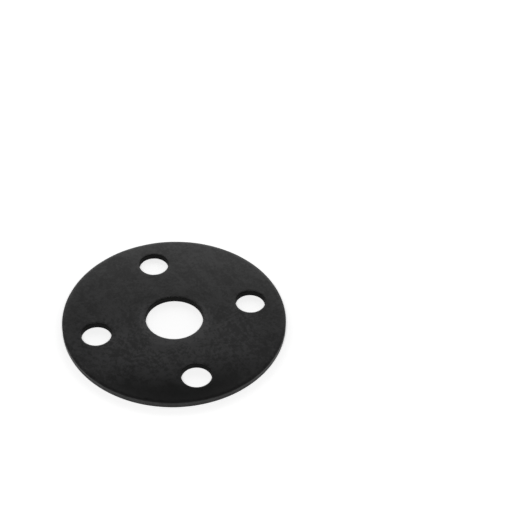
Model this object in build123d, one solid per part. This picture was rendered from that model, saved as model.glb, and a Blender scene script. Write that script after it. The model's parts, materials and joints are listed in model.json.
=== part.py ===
from build123d import *
import os

# Full-face flange gasket, cut in one piece from rubber sheet. It covers the whole face
# of a small pipe flange: a port for the pipe in the middle, and a circle of holes for
# the flange bolts.
#
# Frame: the origin is the centre of the port on the lower sealing face, and +Z runs
# along the pipe. The bolt holes straddle the X and Y axes, as they do on a flange.

# The flanges that the gasket seals, in millimetres: 20 mm nominal bore, pressure class 16.
FLANGE_DIAMETER = 105.0
BOLT_CIRCLE_DIAMETER = 75.0
BOLT_COUNT = 4
BOLT_DIAMETER = 12.0
PIPE_DIAMETER = 26.9

# What the sheet is cut to, around those.
BOLT_HOLE_ALLOWANCE = 2.0  # a hole's diameter over its bolt's
PORT_ALLOWANCE = 0.1  # the port's diameter over the pipe's
SHEET_THICKNESS = 3.0

# The cutter goes in from above and draws the rubber down with it, so every upper edge is
# rolled over. It comes out through the lower face, and the edges there are square.
ROLLED_EDGE_RADIUS = 0.4


def bolt_holes():
    """Circles for the bolts, evenly spaced on the bolt circle."""
    spacing = 360 / BOLT_COUNT
    places = PolarLocations(BOLT_CIRCLE_DIAMETER / 2, BOLT_COUNT, start_angle=spacing / 2)
    return places * Circle((BOLT_DIAMETER + BOLT_HOLE_ALLOWANCE) / 2)


def cutter_outline():
    """What the cutter stamps out: a disc as wide as the flange, less its port and bolt holes."""
    port = Circle((PIPE_DIAMETER + PORT_ALLOWANCE) / 2)
    return Circle(FLANGE_DIAMETER / 2) - port - bolt_holes()


def flange_gasket():
    """The outline cut down through the sheet, with its upper edges rolled over."""
    cut_sheet = extrude(cutter_outline(), SHEET_THICKNESS)
    upper_face = cut_sheet.faces().sort_by(Axis.Z)[-1]
    return fillet(upper_face.edges(), ROLLED_EDGE_RADIUS)


os.makedirs("parts", exist_ok=True)
gasket = flange_gasket()
export_step(gasket, "parts/flange_gasket.step")
print(f"flange_gasket: {gasket.volume / 1000:.2f} cm3, {len(gasket.faces())} faces")
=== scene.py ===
"""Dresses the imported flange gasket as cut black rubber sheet, on a pale studio floor in soft light."""
import json
import logging
import math
from dataclasses import dataclass
from enum import Enum
from typing import Any, Union

import bmesh
import bpy
import numpy as np
from mathutils import Matrix, Vector


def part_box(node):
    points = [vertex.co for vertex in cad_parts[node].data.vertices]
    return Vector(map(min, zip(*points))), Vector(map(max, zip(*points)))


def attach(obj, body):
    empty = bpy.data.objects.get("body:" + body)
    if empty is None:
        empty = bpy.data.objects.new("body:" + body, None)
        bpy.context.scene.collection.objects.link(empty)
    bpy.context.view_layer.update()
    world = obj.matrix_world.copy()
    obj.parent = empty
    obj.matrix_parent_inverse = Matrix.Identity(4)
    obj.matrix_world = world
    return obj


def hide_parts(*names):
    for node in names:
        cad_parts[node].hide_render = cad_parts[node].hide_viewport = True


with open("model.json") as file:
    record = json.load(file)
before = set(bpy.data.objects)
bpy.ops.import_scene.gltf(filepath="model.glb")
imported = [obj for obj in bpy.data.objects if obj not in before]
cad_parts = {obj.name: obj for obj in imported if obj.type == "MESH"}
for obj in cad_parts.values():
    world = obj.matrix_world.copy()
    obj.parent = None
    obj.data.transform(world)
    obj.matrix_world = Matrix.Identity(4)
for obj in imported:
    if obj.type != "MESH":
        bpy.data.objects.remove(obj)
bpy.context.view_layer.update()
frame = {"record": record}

MM = 0.001
NODE = "flange_gasket"
BODY = "root"

WELD = 0.001 * MM  # points nearer to each other than this become one
WAVE_SPREAD = (0.6, 1.7)  # the shortest and the longest of added waves, over the middle one
WAVE_PEAK = 1.6  # added waves seldom pass this times the square root of their count
MIDWAY = 0.5  # the middle of a pattern that runs from 0 to 1
WHITE = (1.0, 1.0, 1.0, 1.0)

log = logging.getLogger("gasket")

Grid = np.ndarray  # (rows, columns, 3) points, in metres
Colour = tuple[float, float, float]
Span = tuple[float, float]  # where something begins and where it is done


# ---------------------------------------------------------------------------------------
# Sizes
# ---------------------------------------------------------------------------------------


class Surface(Enum):
    """The gasket's surfaces, by the number of the material slot that dresses each."""

    SKIN = 0
    OUTER_EDGE = 1
    HOLE_WALL = 2


class RubberSide(Enum):
    """Which side of a cut line the rubber is on: -1 inside the circle, +1 outside it."""

    INSIDE = -1
    OUTSIDE = 1


@dataclass(frozen=True)
class CutLine:
    """A circle that the cutter stamped into the sheet."""

    centre: tuple[float, float]
    radius: float
    side: RubberSide

    def points(self, angles: np.ndarray, depth: np.ndarray) -> np.ndarray:
        """Places on the sheet at a depth into the rubber from the line.

        The distance from the centre is the radius, plus the depth on a hole or less it on the rim.

        Args:
            angles: directions from the circle's centre, in radians.
            depth: how far into the rubber, in metres, in a shape that goes with the angles'.

        Returns:
            An array of x and y, with one more axis than its arguments.
        """
        reach = self.radius + self.side.value * depth
        return np.stack(
            [self.centre[0] + reach * np.cos(angles), self.centre[1] + reach * np.sin(angles)], -1
        )


@dataclass(frozen=True)
class GasketSizes:
    """The gasket's own sizes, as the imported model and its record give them."""

    thickness: float
    rolled_edge: float
    rim: CutLine
    port: CutLine
    bolt_holes: tuple[CutLine, ...]

    @classmethod
    def from_frame(cls, record: dict[str, Any]) -> "GasketSizes":
        """Reads the sizes.

        Args:
            record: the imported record, whose mounts hold the port and the bolt circle.

        Returns:
            The sizes, in metres.
        """
        low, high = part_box(NODE)
        mounts = {mount["name"]: mount for mount in record["mounts"]}
        port, bolts = mounts["port"]["dims"], mounts["bolt_holes"]["dims"]
        thickness = high.z - low.z
        reach, step = bolts["pcd_mm"] / 2 * MM, 2 * math.pi / bolts["count"]
        turns = [(number + 0.5) * step for number in range(bolts["count"])]  # they straddle the axes
        centres = [(reach * math.cos(turn), reach * math.sin(turn)) for turn in turns]
        return cls(
            thickness=thickness,
            rolled_edge=thickness - port["length_mm"] * MM,
            rim=CutLine((0.0, 0.0), (high.x - low.x) / 2, RubberSide.INSIDE),
            port=CutLine((0.0, 0.0), port["r_mm"] * MM, RubberSide.OUTSIDE),
            bolt_holes=tuple(
                CutLine(centre, bolts["hole_r_mm"] * MM, RubberSide.OUTSIDE) for centre in centres
            ),
        )


# ---------------------------------------------------------------------------------------
# Mesh tools
# ---------------------------------------------------------------------------------------


def grid_faces(rows: int, columns: int, start: int, flip: bool) -> np.ndarray:
    """The quads of a grid of points, row after row.

    Each joins two neighbours in a row with the two beside them in the next row.

    Args:
        rows: how many rows of points there are.
        columns: how many points there are in a row.
        start: the number of the grid's first point.
        flip: turns the quads over.

    Returns:
        An array with the four points of each quad.
    """
    first = start + np.arange(rows - 1)[:, None] * columns + np.arange(columns - 1)[None, :]
    quads = np.stack([first, first + columns, first + columns + 1, first + 1], -1).reshape(-1, 4)
    return quads[:, ::-1] if flip else quads


def waves(x: np.ndarray, y: np.ndarray, length: float, count: int, seed: int) -> np.ndarray:
    """A smooth uneven surface: plane waves that run in all directions, added up.

    Each wave is the cosine of 2 pi times the distance along its own direction over its own
    wavelength, plus its phase. The sum of all is divided by what it seldom passes, and clipped.

    Args:
        x: places along X, in metres.
        y: places along Y, in metres.
        length: the middle wavelength, in metres.
        count: how many waves are added.
        seed: picks the directions, lengths and phases, the same on each run.

    Returns:
        Heights from about -1 to 1, in the shape of x.
    """
    draw = np.random.default_rng(seed)
    heading = draw.uniform(0, 2 * math.pi, count)
    number = 2 * math.pi / (length * draw.uniform(*WAVE_SPREAD, count))
    phase = draw.uniform(0, 2 * math.pi, count)
    across = x[..., None] * np.cos(heading) + y[..., None] * np.sin(heading)
    total = np.cos(across * number + phase).sum(-1)
    return np.clip(total / (WAVE_PEAK * math.sqrt(count)), -1, 1)


class MeshMaker:
    """Gathers grids of points and welds them into one mesh."""

    def __init__(self) -> None:
        """Starts with no points."""
        self.points: list[np.ndarray] = []
        self.quads: list[np.ndarray] = []
        self.slots: list[np.ndarray] = []
        self.count = 0

    def add(self, grid: Grid, slots: Union[int, np.ndarray] = 0, flip: bool = False) -> None:
        """Adds a grid.

        Args:
            grid: its points.
            slots: the material slot of all its quads, or of each quad across a row.
            flip: turns its quads over.
        """
        rows, columns, _ = grid.shape
        self.quads.append(grid_faces(rows, columns, self.count, flip))
        self.points.append(grid.reshape(-1, 3))
        self.slots.append(np.broadcast_to(slots, (rows - 1, columns - 1)).ravel())
        self.count += rows * columns

    def build(self, name: str) -> bpy.types.Object:
        """Makes the object, and logs how many of its edges are open.

        Args:
            name: its name.

        Returns:
            The new object, in the scene.
        """
        mesh = bpy.data.meshes.new(name)
        mesh.from_pydata(np.concatenate(self.points).tolist(), [], np.concatenate(self.quads).tolist())
        mesh.polygons.foreach_set("material_index", np.concatenate(self.slots).astype(np.int32))
        soup = bmesh.new()
        soup.from_mesh(mesh)
        bmesh.ops.remove_doubles(soup, verts=soup.verts, dist=WELD)
        open_edges = sum(len(edge.link_faces) != 2 for edge in soup.edges)
        soup.to_mesh(mesh)
        soup.free()
        mesh.shade_smooth()
        piece = bpy.data.objects.new(name, mesh)
        bpy.context.scene.collection.objects.link(piece)
        log.info(
            "%s: %d points, %d faces, %d open edges",
            name, len(mesh.vertices), len(mesh.polygons), open_edges,
        )
        return piece


# ---------------------------------------------------------------------------------------
# The gasket
# ---------------------------------------------------------------------------------------


@dataclass(frozen=True)
class CutEdge:
    """The section of a cut edge."""

    drawn_down: float  # how far the cutter drew the upper face down beside the roll
    drawn_reach: float  # how far from the cut that stops
    band: float = 2.0 * MM  # how much of each face belongs to the edge
    dish: float = 0.07 * MM  # how far the middle of the wall hollows
    lower_chamfer: float = 0.06 * MM
    lower_steps: int = 4
    wall_steps: int = 8
    roll_steps: int = 8
    dressed_roll: int = 5  # how many of these wear the wall's finish, which on the holes and the port carries their painted shade onto the roll
    upper_steps: int = 8
    upper_gather: float = 1.4  # crowds the upper steps towards the roll

    def section(self, sizes: GasketSizes) -> np.ndarray:
        """The section from the lower face, up the wall and over the rolled edge to the upper face.

        The wall hollows as a parabola over its height: the dish times 4 times the share of the
        height times the rest of it. The roll is a quarter circle. Beside the roll, the upper face is
        lower by the drawn depth times the square of a share that is 1 at the roll and 0 at the end
        of its reach. On the roll itself, this grows with the height, from none at its foot.

        Args:
            sizes: the gasket's sizes.

        Returns:
            Rows of depth into the rubber and height above the lower face, in metres.
        """
        roll, small = sizes.rolled_edge, self.lower_chamfer
        shoulder = sizes.thickness - roll
        lower = np.linspace(self.band, small, self.lower_steps + 1)
        rise = np.linspace(small, shoulder, self.wall_steps + 1)
        middle = (rise - small) / (shoulder - small)
        turn = np.linspace(0, math.pi / 2, self.roll_steps + 1)[1:]
        part = np.linspace(0, 1, self.upper_steps + 1)[1:] ** self.upper_gather
        upper = roll + (self.band - roll) * part
        depth = np.concatenate(
            [lower, self.dish * 4 * middle * (1 - middle), roll * (1 - np.cos(turn)), upper]
        )
        height = np.concatenate([
            np.zeros_like(lower), rise, shoulder + roll * np.sin(turn),
            np.full_like(upper, sizes.thickness),
        ])
        fall = np.clip((self.drawn_reach - depth) / (self.drawn_reach - roll), 0, 1) ** 2
        height -= self.drawn_down * fall * np.clip((height - shoulder) / roll, 0, 1)
        return np.stack([depth, height], -1)

    def slots(self, wall: Surface) -> np.ndarray:
        """The material slot of each step of the section, with the skin on what isn't wall.

        Args:
            wall: the surface that the wall wears.

        Returns:
            A slot for each step.
        """
        above = self.roll_steps - self.dressed_roll + self.upper_steps
        runs = (
            (Surface.SKIN, self.lower_steps),
            (wall, 1 + self.wall_steps + self.dressed_roll),  # the first step is the chamfer
            (Surface.SKIN, above),
        )
        return np.concatenate([np.full(count, surface.value) for surface, count in runs])


@dataclass(frozen=True)
class Unevenness:
    """Waves that hollow both of the sheet's faces."""

    depth: float  # how far into the sheet they go at most
    length: float  # the middle wavelength
    count: int  # how many waves there are
    seeds: tuple[int, int]  # one for the lower face and one for the upper face

    def depths(self, x: np.ndarray, y: np.ndarray) -> list[np.ndarray]:
        """How far into the sheet each face goes: the depth times one less the waves, halved.

        Args:
            x: places along X, in metres.
            y: places along Y, in metres.

        Returns:
            The lower face's depths and the upper face's, in metres.
        """
        return [self.depth * (1 - waves(x, y, self.length, self.count, seed)) / 2 for seed in self.seeds]


@dataclass
class Gasket:
    """The gasket as a mesh: edge strips along every cut line, and faces that join them."""

    sizes: GasketSizes
    rim_edge: CutEdge = CutEdge(drawn_down=0.16 * MM, drawn_reach=1.6 * MM)
    hole_edge: CutEdge = CutEdge(drawn_down=0.04 * MM, drawn_reach=1.1 * MM)
    hollows: Unevenness = Unevenness(depth=0.07 * MM, length=17 * MM, count=9, seeds=(11, 12))
    ripples: Unevenness = Unevenness(depth=0.022 * MM, length=5 * MM, count=14, seeds=(21, 22))
    rim_steps: int = 112  # steps along a sector's share of the rim
    side_steps: int = 36  # along each of its straight sides
    port_steps: int = 40  # and along its share of the port
    rings: int = 21  # rows from a bolt hole's edge strip to the border of its sector

    def border(self, middle: float) -> tuple[np.ndarray, np.ndarray, np.ndarray]:
        """The border of one bolt hole's share of the faces, a sector between the port and the rim.

        It runs along the rim's edge strip, down one side to the port's strip, along that, and up
        the other side. The sides are straight, from radius to radius at even steps.

        Args:
            middle: the direction of the bolt hole from the gasket's centre, in radians.

        Returns:
            The border's points, and the directions of its points on the rim and on the port.
        """
        half = math.pi / len(self.sizes.bolt_holes)
        outer = self.sizes.rim.radius - self.rim_edge.band
        inner = self.sizes.port.radius + self.hole_edge.band
        on_rim = middle + np.linspace(-half, half, self.rim_steps + 1)
        on_port = middle + np.linspace(half, -half, self.port_steps + 1)
        reach = np.linspace(outer, inner, self.side_steps + 1)
        angles = np.concatenate([
            on_rim, np.full(self.side_steps - 1, middle + half),
            on_port, np.full(self.side_steps - 1, middle - half), on_rim[:1],
        ])
        radii = np.concatenate([
            np.full(self.rim_steps + 1, outer), reach[1:-1],
            np.full(self.port_steps + 1, inner), reach[-2:0:-1], [outer],
        ])
        return np.stack([radii * np.cos(angles), radii * np.sin(angles)], -1), on_rim, on_port

    def strip(self, line: CutLine, edge: CutEdge, angles: np.ndarray) -> Grid:
        """An edge's section carried along a cut line.

        Args:
            line: the cut line.
            edge: the edge.
            angles: where the sections stand, in radians.

        Returns:
            The strip's grid, with a row for each angle.
        """
        section = edge.section(self.sizes)
        flat = line.points(angles[:, None], section[None, :, 0])
        height = np.broadcast_to(section[None, :, 1], flat.shape[:2])
        return np.concatenate([flat, height[..., None]], -1)

    def share(self, hole: CutLine, border: np.ndarray, angles: np.ndarray, height: float) -> Grid:
        """A face between a bolt hole's strip and its sector's border, in straight runs.

        A point is the hole's point times one less the share, plus the border's point times the share.

        Args:
            hole: the bolt hole's cut line.
            border: the border's points.
            angles: the directions of the border's points from the hole's centre.
            height: the face's height.

        Returns:
            The face's grid, with a row for each direction.
        """
        start = hole.points(angles, np.full(angles.shape, self.hole_edge.band))
        part = np.linspace(0, 1, self.rings)[None, :, None]
        flat = start[:, None] * (1 - part) + border[:, None] * part
        return np.concatenate([flat, np.full(flat.shape[:2] + (1,), height)], -1)

    def uneven(self, piece: bpy.types.Object) -> None:
        """Lets the faces rise and fall.

        A point rises by the lower face's depth times one less its height, and sinks by the upper
        face's depth times its height, with 1 as the height of the upper face. So the lower face only
        rises, the upper one only sinks, and the sheet stays in its box.

        Args:
            piece: the level gasket.
        """
        mesh = piece.data
        points = np.empty(len(mesh.vertices) * 3, np.float32)
        mesh.vertices.foreach_get("co", points)
        points = points.reshape(-1, 3).astype(float)
        x, y, height = points[:, 0], points[:, 1], points[:, 2] / self.sizes.thickness
        hollows, ripples = self.hollows.depths(x, y), self.ripples.depths(x, y)
        lower, upper = [broad + fine for broad, fine in zip(hollows, ripples)]
        points[:, 2] += lower * (1 - height) - upper * height
        mesh.vertices.foreach_set("co", points.astype(np.float32).ravel())
        mesh.update()

    def build(self) -> bpy.types.Object:
        """Makes the mesh, sector by sector.

        Returns:
            The gasket's object, at the origin, with no materials yet.
        """
        maker = MeshMaker()
        outer = self.rim_edge.slots(Surface.OUTER_EDGE)
        inner = self.hole_edge.slots(Surface.HOLE_WALL)
        for hole in self.sizes.bolt_holes:
            middle = math.atan2(hole.centre[1], hole.centre[0])
            border, on_rim, on_port = self.border(middle)
            angles = np.arctan2(border[:, 1] - hole.centre[1], border[:, 0] - hole.centre[0])
            maker.add(self.strip(self.sizes.rim, self.rim_edge, on_rim), outer)
            maker.add(self.strip(self.sizes.port, self.hole_edge, on_port), inner)
            maker.add(self.strip(hole, self.hole_edge, angles), inner, flip=True)
            maker.add(self.share(hole, border, angles, self.sizes.thickness), flip=True)
            maker.add(self.share(hole, border, angles, 0.0))
        piece = maker.build("gasket")
        self.uneven(piece)
        return piece


# ---------------------------------------------------------------------------------------
# Shader tools
# ---------------------------------------------------------------------------------------

Value = Union[float, "Signal"]
Paint = Union[Colour, bpy.types.NodeSocket]
Stretch = tuple[float, float, float]  # what X, Y and Z are multiplied by

PLAIN: Stretch = (1.0, 1.0, 1.0)
MIX_SHARE, MIX_FIRST, MIX_SECOND, MIX_RESULT = 0, 6, 7, 2  # where a Mix node has its colour sockets


@dataclass(frozen=True)
class Pattern:
    """A cloudy pattern, which may be drawn out along a heading."""

    size: float  # of its clouds, in metres
    layers: float  # how many finer layers lie on them
    strength: float  # how strong each layer is, next to the one before it
    stretch: Stretch = PLAIN
    turn: float = 0.0  # about Z and before the stretch, in radians


class Signal:
    """A number that changes over a surface, on which sums can be written."""

    def __init__(self, tree: bpy.types.NodeTree, socket: bpy.types.NodeSocket) -> None:
        """Wraps a socket of a node tree."""
        self.tree, self.socket = tree, socket

    def maths(self, operation: str, *values: Value) -> "Signal":
        """Adds a Math node.

        Args:
            operation: what it does.
            values: its inputs, this signal's own among them.

        Returns:
            Its result.
        """
        node = self.tree.nodes.new("ShaderNodeMath")
        node.operation = operation
        for slot, value in zip(node.inputs, values):
            if isinstance(value, Signal):
                self.tree.links.new(value.socket, slot)
            else:
                slot.default_value = value
        return Signal(self.tree, node.outputs[0])

    def __add__(self, other: Value) -> "Signal":
        """This plus the other."""
        return self.maths("ADD", self, other)

    def __radd__(self, other: Value) -> "Signal":
        """The other plus this."""
        return self.maths("ADD", other, self)

    def __sub__(self, other: Value) -> "Signal":
        """This less the other."""
        return self.maths("SUBTRACT", self, other)

    def __rsub__(self, other: Value) -> "Signal":
        """The other less this."""
        return self.maths("SUBTRACT", other, self)

    def __mul__(self, other: Value) -> "Signal":
        """This times the other."""
        return self.maths("MULTIPLY", self, other)

    def __rmul__(self, other: Value) -> "Signal":
        """The other times this."""
        return self.maths("MULTIPLY", other, self)

    def size(self) -> "Signal":
        """This without its sign."""
        return self.maths("ABSOLUTE", self)

    def least(self, other: Value) -> "Signal":
        """The smaller of the two."""
        return self.maths("MINIMUM", self, other)


def blend(share: float, first: Signal, second: Signal) -> Signal:
    """The first times one less the share, plus the second times the share."""
    return first * (1 - share) + second * share


def neutral(level: float) -> Colour:
    """A colour with no hue."""
    return (level, level, level)


class NodeBench:
    """Adds nodes to a tree."""

    def __init__(self, tree: bpy.types.NodeTree) -> None:
        """Clears the tree."""
        self.tree = tree
        self.tree.nodes.clear()

    def node(
        self, kind: str, settings: dict[str, Any], inputs: dict[Union[int, str], Any]
    ) -> bpy.types.Node:
        """Adds a node.

        Args:
            kind: its type.
            settings: its own settings, which are set first.
            inputs: values, signals or sockets for its inputs, by name or number.

        Returns:
            The node.
        """
        node = self.tree.nodes.new(kind)
        for key, value in settings.items():
            setattr(node, key, value)
        for key, value in inputs.items():
            if isinstance(value, Signal):
                self.tree.links.new(value.socket, node.inputs[key])
            elif isinstance(value, bpy.types.NodeSocket):
                self.tree.links.new(value, node.inputs[key])
            else:
                node.inputs[key].default_value = value
        return node

    def place(self) -> bpy.types.NodeSocket:
        """The piece's own coordinates, in metres."""
        return self.node("ShaderNodeTexCoord", {}, {}).outputs["Object"]

    def turned(self, stretch: Stretch, turn: float) -> bpy.types.NodeSocket:
        """The piece's own coordinates, turned about Z and then stretched.

        Args:
            stretch: what X, Y and Z are multiplied by.
            turn: in radians.

        Returns:
            The coordinates, as they are if neither changes them.
        """
        if stretch == PLAIN and turn == 0:
            return self.place()
        spun = self.node(
            "ShaderNodeVectorRotate",
            {"rotation_type": "Z_AXIS"},
            {"Vector": self.place(), "Angle": turn},
        )
        return self.node(
            "ShaderNodeVectorMath", {"operation": "MULTIPLY"}, {0: spun.outputs[0], 1: stretch}
        ).outputs[0]

    def noise(self, pattern: Pattern) -> Signal:
        """A cloudy pattern over the piece, from 0 to 1.

        Args:
            pattern: its sizes.

        Returns:
            The pattern.
        """
        node = self.node(
            "ShaderNodeTexNoise",
            {"noise_dimensions": "3D", "normalize": True},
            {
                "Vector": self.turned(pattern.stretch, pattern.turn),
                "Scale": 1 / pattern.size,
                "Detail": pattern.layers,
                "Roughness": pattern.strength,
            },
        )
        return Signal(self.tree, node.outputs[0])

    def ramp(self, value: Signal, low: float, high: float) -> Signal:
        """A smooth step from 0 to 1.

        Args:
            value: what it follows.
            low: the value at which the step begins.
            high: the value from which it is 1.

        Returns:
            The step.
        """
        node = self.node(
            "ShaderNodeMapRange",
            {"interpolation_type": "SMOOTHSTEP", "clamp": True},
            {"Value": value, "From Min": low, "From Max": high, "To Min": 0.0, "To Max": 1.0},
        )
        return Signal(self.tree, node.outputs[0])

    def mix(self, share: Value, first: Paint, second: Paint) -> bpy.types.NodeSocket:
        """A colour between two.

        Args:
            share: from 0, which gives the first, to 1, which gives the second.
            first: a colour.
            second: another.

        Returns:
            The colour between them.
        """
        paints = [
            paint if isinstance(paint, bpy.types.NodeSocket) else (*paint, 1.0)
            for paint in (first, second)
        ]
        node = self.node(
            "ShaderNodeMix",
            {"data_type": "RGBA"},
            {MIX_SHARE: share, MIX_FIRST: paints[0], MIX_SECOND: paints[1]},
        )
        return node.outputs[MIX_RESULT]

    def split(self, where: bpy.types.NodeSocket) -> tuple[Signal, Signal]:
        """The X and Y of coordinates."""
        parts = self.node("ShaderNodeSeparateXYZ", {}, {0: where}).outputs
        return Signal(self.tree, parts[0]), Signal(self.tree, parts[1])

    def out(self) -> Signal:
        """How far a place is from the middle of the piece, in metres."""
        node = self.node("ShaderNodeVectorMath", {"operation": "LENGTH"}, {0: self.place()})
        return Signal(self.tree, node.outputs["Value"])


class Finish(NodeBench):
    """A material under work."""

    def __init__(self, name: str) -> None:
        """Makes an empty material.

        Args:
            name: its name.
        """
        self.material = bpy.data.materials.new(name)
        self.material.use_nodes = True
        super().__init__(self.material.node_tree)

    def relief(self, height: Signal, distance: float) -> bpy.types.NodeSocket:
        """The normals of a surface with relief.

        Args:
            height: the relief, from 0 to 1.
            distance: how high 1 stands, in metres.

        Returns:
            The normals.
        """
        return self.node(
            "ShaderNodeBump", {}, {"Strength": 1.0, "Distance": distance, "Height": height}
        ).outputs["Normal"]

    def close(self, inputs: dict[str, Any]) -> bpy.types.Material:
        """Ends the material with one shader.

        Args:
            inputs: the shader's inputs.

        Returns:
            The material.
        """
        surface = self.node("ShaderNodeBsdfPrincipled", {}, inputs)
        self.node("ShaderNodeOutputMaterial", {}, {"Surface": surface.outputs[0]})
        return self.material


@dataclass(frozen=True)
class DustAndSheenBand:
    """A broad pale band across the sheet, partly dust that follows the sheet's mottling and partly
    painted sheen, with a painted highlight round the port.
    """

    comes: Span = (-42 * MM, -21 * MM)  # along its heading, from the gasket's centre
    goes: Span = (-14 * MM, 17 * MM)
    middle: float = -2 * MM  # across its heading, from the gasket's centre
    thins: Span = (24 * MM, 60 * MM)  # across its heading, from its own middle
    thinnest: float = 0.35  # its strength where the sheet is darkest, with 1 where it is palest
    strength: float = 0.7
    port_highlight_reach: float = 6.5 * MM  # how far from the port the painted highlight round it reaches
    port_highlight: float = 1.2  # the strength that the painted highlight adds at the port

    def share(
        self, finish: Finish, across: Signal, along: Signal, mottle: Signal, port: float
    ) -> Signal:
        """How much of the band of dust and painted sheen there is at a place.

        It is the product of what has come by then, of what has not gone, of its width, of the sheet's
        pattern, and of its strength, which grows towards the port as a painted highlight.

        Args:
            finish: the material under work.
            across: how far across the heading the place is, in metres.
            along: how far along it.
            mottle: the sheet's own pattern, which the band follows.
            port: the port's radius.

        Returns:
            The share, from 0 to 1, and past 1 where the painted highlight at the port adds to it.
        """
        come = finish.ramp(along, *self.comes)
        left = 1.0 - finish.ramp(along, *self.goes)
        width = 1.0 - finish.ramp((across - self.middle).size(), *self.thins)
        # painted highlight: the band grows paler next to the port, strongest on its front side
        port_highlight = 1.0 - finish.ramp(finish.out(), port, port + self.port_highlight_reach)
        spread = come * left * width * (self.thinnest + mottle * (1 - self.thinnest))
        return spread * (self.strength + port_highlight * self.port_highlight)


@dataclass(frozen=True)
class RubberSkin:
    """The sheet's own faces: dull black under a patchy bloom that thins towards the front as a painted
    shade, a pale band that is partly dust and partly painted sheen, and wear along the rim that grows
    towards the back as a painted sheen.
    """

    deep: Colour = (0.0008, 0.0008, 0.0008)
    bloom: Colour = (0.0140, 0.0140, 0.0143)
    # the pale colour of the band, partly dust and partly painted sheen
    smeared: Colour = (0.0510, 0.0510, 0.0520)
    # the pale wear along the rim, which grows towards the back as a painted sheen
    worn: Colour = (0.058, 0.058, 0.059)
    roughness: float = 0.35
    specular: float = 0.445

    clouds: Pattern = Pattern(size=6.5 * MM, layers=5.0, strength=0.62)
    streaks: Pattern = Pattern(size=28 * MM, layers=4.0, strength=0.6, stretch=(1.0, 7.0, 1.0), turn=0.5)
    specks: Pattern = Pattern(size=0.9 * MM, layers=3.0, strength=0.7)
    grain: Pattern = Pattern(size=0.38 * MM, layers=2.0, strength=0.5)
    pebble: Pattern = Pattern(size=1.7 * MM, layers=3.0, strength=0.55)
    dust: Pattern = Pattern(size=0.24 * MM, layers=2.0, strength=0.6)
    scuffs: Pattern = Pattern(size=9 * MM, layers=3.0, strength=0.5, stretch=(1.0, 26.0, 1.0), turn=1.1)
    drift: Pattern = Pattern(size=24 * MM, layers=3.0, strength=0.5, stretch=(1.0, 1.6, 1.0), turn=0.9)

    cloud_share: float = 0.3  # what each pattern adds to the mottling
    streak_share: float = 0.2
    hollow_share: float = 0.25  # of the hollows between the pebble's bumps
    speck_share: float = 0.25
    mottled: Span = (0.45, 0.55)  # where the mottling's sum begins to show, and where it is whole
    dusted: Span = (0.62, 0.74)  # the same for the dust's pattern
    scuffed: Span = (0.66, 0.8)  # and for the scuffs'
    dust_bloom: float = 0.5  # what each adds to the bloom
    scuff_bloom: float = 0.4

    worn_reach: float = 7.0 * MM  # how far the wear reaches from the rim
    worn_specks: float = 0.6  # the share of specks in the wear's pattern, with clouds as the rest
    patchy: Span = (0.24, 0.56)  # where that pattern begins to show, and where it is whole
    wear_at_front: float = 0.07  # how strong the wear is at the front
    wear_and_sheen_at_back: float = 0.25  # and at the back, where its growth is a painted sheen

    relief: float = 0.028 * MM
    relief_pebble: float = 0.6  # the share of the pebble in the relief, with the grain as the rest
    mottle_shine: float = 0.05  # how much smoother the mottling's pale patches are
    speck_dulling: float = 0.1  # how much rougher the specks are
    wear_dulling: float = 0.06  # how much rougher the worn rim is

    heading: float = math.radians(-33.7)  # the way from the front to the back, along which the painted shade and sheen run, anticlockwise from +Y
    stray: float = 14 * MM  # how far the drift moves the borders that lie along the heading
    shade_deepest_at: float = -54 * MM  # along the heading, the painted shade thins the bloom most at this distance
    shade_ends_at: float = -32 * MM  # and leaves it whole from this one
    bloom_left_in_shade: float = 0.1  # what is left of the bloom where the painted shade is deepest
    smear: DustAndSheenBand = DustAndSheenBand()

    def make(self, rim: float, port: float) -> bpy.types.Material:
        """Makes the material.

        The bloom is the mottling with its scuffs and dust, thinned towards the front as a painted shade.
        The band of dust and painted sheen lies over it, and the rim's wear over both, stronger towards
        the back as a painted sheen.

        Args:
            rim: the gasket's outer radius.
            port: the port's radius.

        Returns:
            The material.
        """
        finish = Finish("rubber skin")
        clouds, streaks, specks, grain, pebble, drift = [
            finish.noise(pattern)
            for pattern in (self.clouds, self.streaks, self.specks, self.grain, self.pebble, self.drift)
        ]
        dust = finish.ramp(finish.noise(self.dust), *self.dusted)
        scuffs = finish.ramp(finish.noise(self.scuffs), *self.scuffed)
        mottling = clouds * self.cloud_share + streaks * self.streak_share
        mottling = mottling + (1.0 - pebble) * self.hollow_share + specks * self.speck_share
        mottle = finish.ramp(mottling, *self.mottled)

        across, along = finish.split(finish.turned(PLAIN, self.heading))
        along = along + (drift - MIDWAY) * self.stray
        # painted shade: the bloom thins towards the front, which darkens the sheet there
        painted_front_shade = self.bloom_left_in_shade + finish.ramp(along, self.shade_deepest_at, self.shade_ends_at) * (1 - self.bloom_left_in_shade)
        bloom = (mottle + scuffs * self.scuff_bloom + dust * self.dust_bloom).least(1.0) * painted_front_shade
        # partly dust, partly painted sheen: a pale band across the middle, paler at the port as a
        # painted highlight
        smear = self.smear.share(finish, across, along, mottle, port)

        edge = finish.ramp(finish.out(), rim - self.worn_reach, rim)
        wear = edge * finish.ramp(blend(self.worn_specks, clouds, specks), *self.patchy)
        # painted sheen: the rim's wear grows from the front to the back
        painted_back_sheen = finish.ramp(along, self.shade_deepest_at, -self.shade_deepest_at)
        wear_and_back_sheen = wear * (self.wear_at_front + painted_back_sheen * (self.wear_and_sheen_at_back - self.wear_at_front))

        colour = finish.mix(bloom, self.deep, self.bloom)
        colour = finish.mix(smear, colour, self.smeared)
        colour = finish.mix(wear_and_back_sheen, colour, self.worn)
        roughness = self.roughness + (MIDWAY - mottle) * self.mottle_shine
        roughness = roughness + (specks - MIDWAY) * self.speck_dulling + wear * self.wear_dulling
        return finish.close({
            "Base Color": colour,
            "Roughness": roughness,
            "Specular IOR Level": self.specular,
            "Normal": finish.relief(blend(self.relief_pebble, grain, pebble), self.relief),
        })


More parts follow.
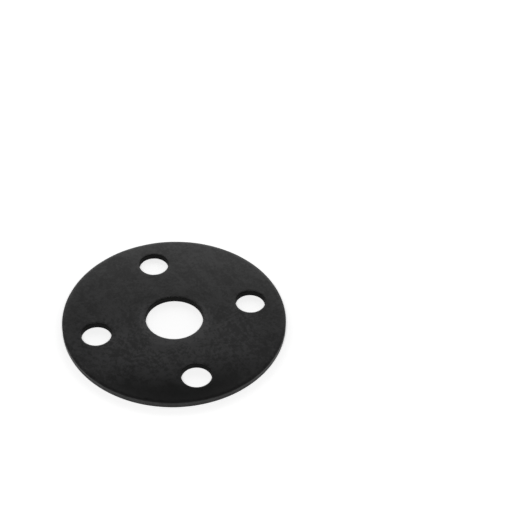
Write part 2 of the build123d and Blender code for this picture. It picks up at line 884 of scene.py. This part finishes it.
@dataclass(frozen=True)
class CutRubber:
    """Rubber where the cutter went through it, with the drag lines that its blade left up the wall."""

    name: str
    dark: Colour
    pale: Colour
    roughness: float
    specular: float
    lines: Pattern = Pattern(size=0.35 * MM, layers=3.0, strength=0.6, stretch=(1.0, 1.0, 0.07))
    patches: Pattern = Pattern(size=3.5 * MM, layers=4.0, strength=0.6, stretch=(1.0, 1.0, 0.4))
    pits: Pattern = Pattern(size=0.5 * MM, layers=2.0, strength=0.5)
    patch_share: float = 0.6  # the share of patches in the colour's pattern, with lines as the rest
    toned: Span = (0.35, 0.65)  # where that pattern leaves the dark colour and reaches the pale one
    patch_dulling: float = 0.15  # how much rougher the pale patches are
    pit_share: float = 0.25  # the share of pits in the relief, with lines as the rest
    relief: float = 0.03 * MM

    def make(self) -> bpy.types.Material:
        """Makes the material.

        Returns:
            The material.
        """
        finish = Finish(self.name)
        lines, patches, pits = [finish.noise(item) for item in (self.lines, self.patches, self.pits)]
        share = finish.ramp(blend(self.patch_share, lines, patches), *self.toned)
        return finish.close({
            "Base Color": finish.mix(share, self.dark, self.pale),
            "Roughness": self.roughness + (patches - MIDWAY) * self.patch_dulling,
            "Specular IOR Level": self.specular,
            "Normal": finish.relief(blend(self.pit_share, lines, pits), self.relief),
        })


CUT_FINISHES = (  # in the order of their slots, after the skin's
    CutRubber(
        name="outer cut edge",
        dark=(0.0055, 0.0055, 0.0057),
        pale=(0.0225, 0.0225, 0.0230),
        roughness=0.55,
        specular=0.28,
    ),
    # the holes' and the port's walls are a darker copy of the cut edge: painted shade for the shade
    # inside them
    CutRubber(
        name="hole wall with painted shade",
        dark=(0.0026, 0.0026, 0.0026),
        pale=(0.0075, 0.0075, 0.0076),
        roughness=0.75,
        specular=0.10,
    ),
)


# ---------------------------------------------------------------------------------------
# The studio
# ---------------------------------------------------------------------------------------


@dataclass(frozen=True)
class Viewpoint:
    """Where the camera stands. It looks at a place beyond the gasket and to the right of it."""

    heading: float = math.radians(25.72)  # the way it looks, anticlockwise from +Y
    dip: float = math.radians(43.634)  # how far it looks down
    roll: float = math.radians(2.064)  # how far it leans to one side
    distance: float = 697.4 * MM  # from the camera to that place
    aim_right: float = 36.8 * MM  # how far that place is to the right of the gasket's centre
    aim_beyond: float = 47.65 * MM  # and how far beyond it, on the floor
    lens: float = 99.25  # on film 36 wide
    film: float = 36.0

    def facing(self) -> Matrix:
        """Turns right, beyond and up, as the camera faces, into the scene's own axes."""
        return Matrix.Rotation(self.heading, 4, "Z")

    def make(self) -> bpy.types.Object:
        """Stands the camera.

        Returns:
            The camera, which the scene now uses.
        """
        data = bpy.data.cameras.new("camera")
        data.lens, data.sensor_width = self.lens, self.film
        camera = bpy.data.objects.new("camera", data)
        bpy.context.scene.collection.objects.link(camera)
        aim = self.facing() @ Vector((self.aim_right, self.aim_beyond, 0.0))
        turned = (
            self.facing()
            @ Matrix.Rotation(math.pi / 2 - self.dip, 4, "X")
            @ Matrix.Rotation(self.roll, 4, "Z")
        )
        back = turned @ Vector((0.0, 0.0, self.distance))
        camera.matrix_world = Matrix.Translation(aim + back) @ turned
        bpy.context.scene.camera = camera
        return camera


@dataclass(frozen=True)
class Softbox:
    """A rectangular soft light.

    Its places are to the right of the gasket's centre, beyond it and above the floor, as the
    camera faces, in metres.
    """

    name: str
    stands: tuple[float, float, float]
    faces: tuple[float, float, float]
    width: float
    height: float
    brightness: float  # 1 is a white that just fills the film

    def make(self, facing: Matrix) -> bpy.types.Object:
        """Hangs the light. Its power is its brightness times its area times pi.

        Args:
            facing: turns right, beyond and up into the scene's own axes.

        Returns:
            The light.
        """
        data = bpy.data.lights.new(self.name, "AREA")
        data.shape = "RECTANGLE"
        data.size, data.size_y = self.width, self.height
        data.energy = self.brightness * math.pi * self.width * self.height
        lamp = bpy.data.objects.new(self.name, data)
        bpy.context.scene.collection.objects.link(lamp)
        stands, faces = Vector(self.stands), Vector(self.faces)
        away = (stands - faces).to_track_quat("Z", "Y").to_matrix().to_4x4()
        lamp.matrix_world = facing @ Matrix.Translation(stands) @ away
        lamp.visible_camera = False
        return lamp


@dataclass(frozen=True)
class LightTable:
    """The floor: a pale sheet that glows a little by itself, and more away from the gasket."""

    size: float = 6.0
    points: int = 3  # along each side
    level: float = 0.9  # how pale it is, from 0 to 1
    shades: Pattern = Pattern(size=0.4, layers=3.0, strength=0.5)
    shading: float = 0.01  # how much its shades are darker or paler than that
    roughness: float = 0.9
    glow: float = 0.44  # under the gasket
    far_glow: float = 1.0
    grows: Span = (0.052, 0.08)  # the glow grows between these distances from the centre

    def make(self) -> bpy.types.Object:
        """Lays the floor, with its top at the gasket's lower face.

        Returns:
            The floor.
        """
        maker = MeshMaker()
        side = np.linspace(-self.size / 2, self.size / 2, self.points)
        x, y = np.meshgrid(side, side, indexing="ij")
        maker.add(np.stack([x, y, np.zeros_like(x)], -1))
        floor = maker.build("floor")
        finish = Finish("light table")
        shade = finish.noise(self.shades)
        away = finish.ramp(finish.out(), *self.grows)
        darkest, palest = neutral(self.level - self.shading), neutral(self.level + self.shading)
        floor.data.materials.append(finish.close({
            "Base Color": finish.mix(shade, darkest, palest),
            "Roughness": self.roughness,
            "Specular IOR Level": 0.0,
            "Emission Color": finish.mix(away, neutral(self.glow), neutral(self.far_glow)),
            "Emission Strength": 1.0,
        }))
        return floor


@dataclass
class Studio:
    """The floor, the lights and the air around the gasket."""

    view: Viewpoint = Viewpoint()
    table: LightTable = LightTable()
    backdrop: float = 1.0  # how bright the room looks to the camera
    air: float = 0.03  # how brightly it lights the gasket
    boxes: tuple[Softbox, ...] = (
        Softbox(
            name="card behind",
            stands=(0.0, 0.16, 0.07),
            faces=(0.0, -1.0, 0.07),
            width=0.5,
            height=0.14,
            brightness=1.16,
        ),
        Softbox(
            name="high front box",
            stands=(0.0, -0.45, 0.78),
            faces=(0.0, 0.0, 0.0),
            width=0.6,
            height=0.5,
            brightness=5.0,
        ),
    )

    def fill_air(self) -> None:
        """Makes the room: dim as a light, and pale where the camera sees past the floor."""
        world = bpy.data.worlds.new("studio air")
        world.use_nodes = True
        bench = NodeBench(world.node_tree)
        seen = bench.node("ShaderNodeLightPath", {}, {}).outputs["Is Camera Ray"]
        strength = self.air + Signal(world.node_tree, seen) * (self.backdrop - self.air)
        air = bench.node("ShaderNodeBackground", {}, {"Color": WHITE, "Strength": strength})
        bench.node("ShaderNodeOutputWorld", {}, {"Surface": air.outputs[0]})
        bpy.context.scene.world = world

    def build(self) -> bpy.types.Object:
        """Builds the studio.

        Returns:
            The floor.
        """
        floor = self.table.make()
        self.fill_air()
        for box in self.boxes:
            box.make(self.view.facing())
        self.view.make()
        bpy.context.scene.view_settings.view_transform = "Standard"
        return floor


def report(piece: bpy.types.Object) -> None:
    """Logs what a piece came to.

    Args:
        piece: the finished piece.
    """
    triangles = sum(len(face.vertices) - 2 for face in piece.data.polygons)
    finishes = ", ".join(material.name for material in piece.data.materials)
    log.info("%s: %d triangles, dressed in %s", piece.name, triangles, finishes)


def main() -> None:
    """Builds the gasket and its studio, and reports each piece."""
    logging.basicConfig(level=logging.INFO, format="%(name)s: %(message)s")
    sizes = GasketSizes.from_frame(frame["record"])
    gasket = Gasket(sizes).build()
    gasket.data.materials.append(RubberSkin().make(sizes.rim.radius, sizes.port.radius))
    for cut in CUT_FINISHES:
        gasket.data.materials.append(cut.make())
    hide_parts(NODE)
    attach(gasket, BODY)
    report(gasket)
    floor = Studio().build()
    report(floor)


if __name__ == "__main__":
    main()
